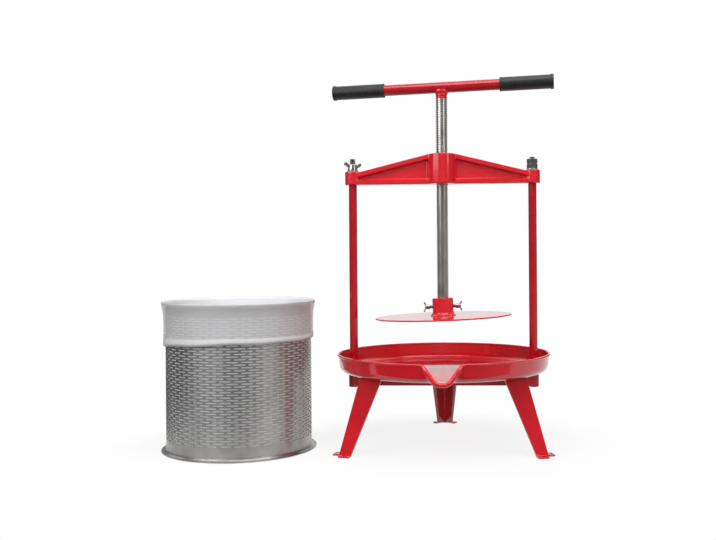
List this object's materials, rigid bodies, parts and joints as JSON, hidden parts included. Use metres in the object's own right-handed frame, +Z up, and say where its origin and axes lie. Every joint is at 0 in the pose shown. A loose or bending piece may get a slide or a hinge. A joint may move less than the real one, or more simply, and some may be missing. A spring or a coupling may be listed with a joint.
{
  "type": "manual fruit press",
  "caption": "Hand-turned screw press for fruit: red enamelled tray with a pouring spout on splayed legs, swing-open crossbar, T handle and press plate, with its steel basket and mesh bag.",
  "frame": {"origin": "on the floor, straight below the press screw", "axes": "+Z up; -Y the way the spout points; the crossbar lies along X with its wing nut at -X"},
  "size_m": [0.6689, 0.3979, 0.6284],
  "materials": {
    "red_enamel": "gloss powder coat",
    "zinc_plate": "bright zinc plate",
    "screw_steel": "turned bright steel",
    "grip_rubber": "fine-grained black rubber",
    "basket_stainless": "cold-rolled stainless sheet, slotted",
    "bag_mesh": "sheer white nylon mesh"
  },
  "bodies": {
    "stand": {"tray": "red_enamel", "base_beam": "red_enamel", "left_column_socket": "red_enamel", "right_column_socket": "red_enamel", "back_leg": "red_enamel", "front_left_leg": "red_enamel", "front_right_leg": "red_enamel", "left_column": "red_enamel", "right_column": "red_enamel", "left_washer": "zinc_plate", "right_washer": "zinc_plate", "lower_jam_nut": "zinc_plate", "upper_jam_nut": "zinc_plate"},
    "crossbar": {"crossbar": "red_enamel"},
    "press_head": {"press_plate": "red_enamel", "plate_hub": "red_enamel"},
    "screw": {"press_screw": "screw_steel", "handle_weld": "red_enamel", "handle_tube": "red_enamel", "left_grip": "grip_rubber", "right_grip": "grip_rubber"},
    "left_wing_screw": {"left_wing_screw": "zinc_plate"},
    "right_wing_screw": {"right_wing_screw": "zinc_plate"},
    "wing_nut": {"left_wing_nut": "zinc_plate"},
    "basket": {"basket": "basket_stainless"},
    "filter_bag": {"filter_bag": "bag_mesh"}
  },
  "joints": [
    {"name": "crossbar_swing", "type": "hinge", "parent": "stand", "child": "crossbar", "pos_m": [0.1544, 0, 0.458], "axis": [0, 0, 1], "range_deg": [0, 110]},
    {"name": "press_stroke", "type": "slide", "parent": "crossbar", "child": "press_head", "axis": [0, 0, 1], "range_m": [-0.0805, 0.1945]},
    {"name": "screw_turn", "type": "hinge", "parent": "press_head", "child": "screw", "pos_m": [0, 0, 0.4], "axis": [0, 0, 1], "range_deg": [-7236, 17496]},
    {"name": "left_wing_screw_turn", "type": "hinge", "parent": "press_head", "child": "left_wing_screw", "pos_m": [0, 0, 0.236], "axis": [-0.9995, 0, -0.0323], "range_deg": [0, 1080]},
    {"name": "right_wing_screw_turn", "type": "hinge", "parent": "press_head", "child": "right_wing_screw", "pos_m": [0, 0, 0.236], "axis": [0.9995, 0, 0.0323], "range_deg": [0, 1080]},
    {"name": "wing_nut_turn", "type": "hinge", "parent": "stand", "child": "wing_nut", "pos_m": [-0.1544, 0, 0.479], "axis": [0, 0, 1], "range_deg": [0, 1800]},
    {"name": "basket_lift", "type": "slide", "parent": "stand", "child": "basket", "axis": [0, 0, 1], "range_m": [0, 0.3]},
    {"name": "bag_lift", "type": "slide", "parent": "basket", "child": "filter_bag", "axis": [0, 0, 1], "range_m": [0, 0.25]}
  ],
  "couplings": [
    {"joint": "press_stroke", "follows": "screw_turn", "m_per_rad": 0.00063662}
  ]
}
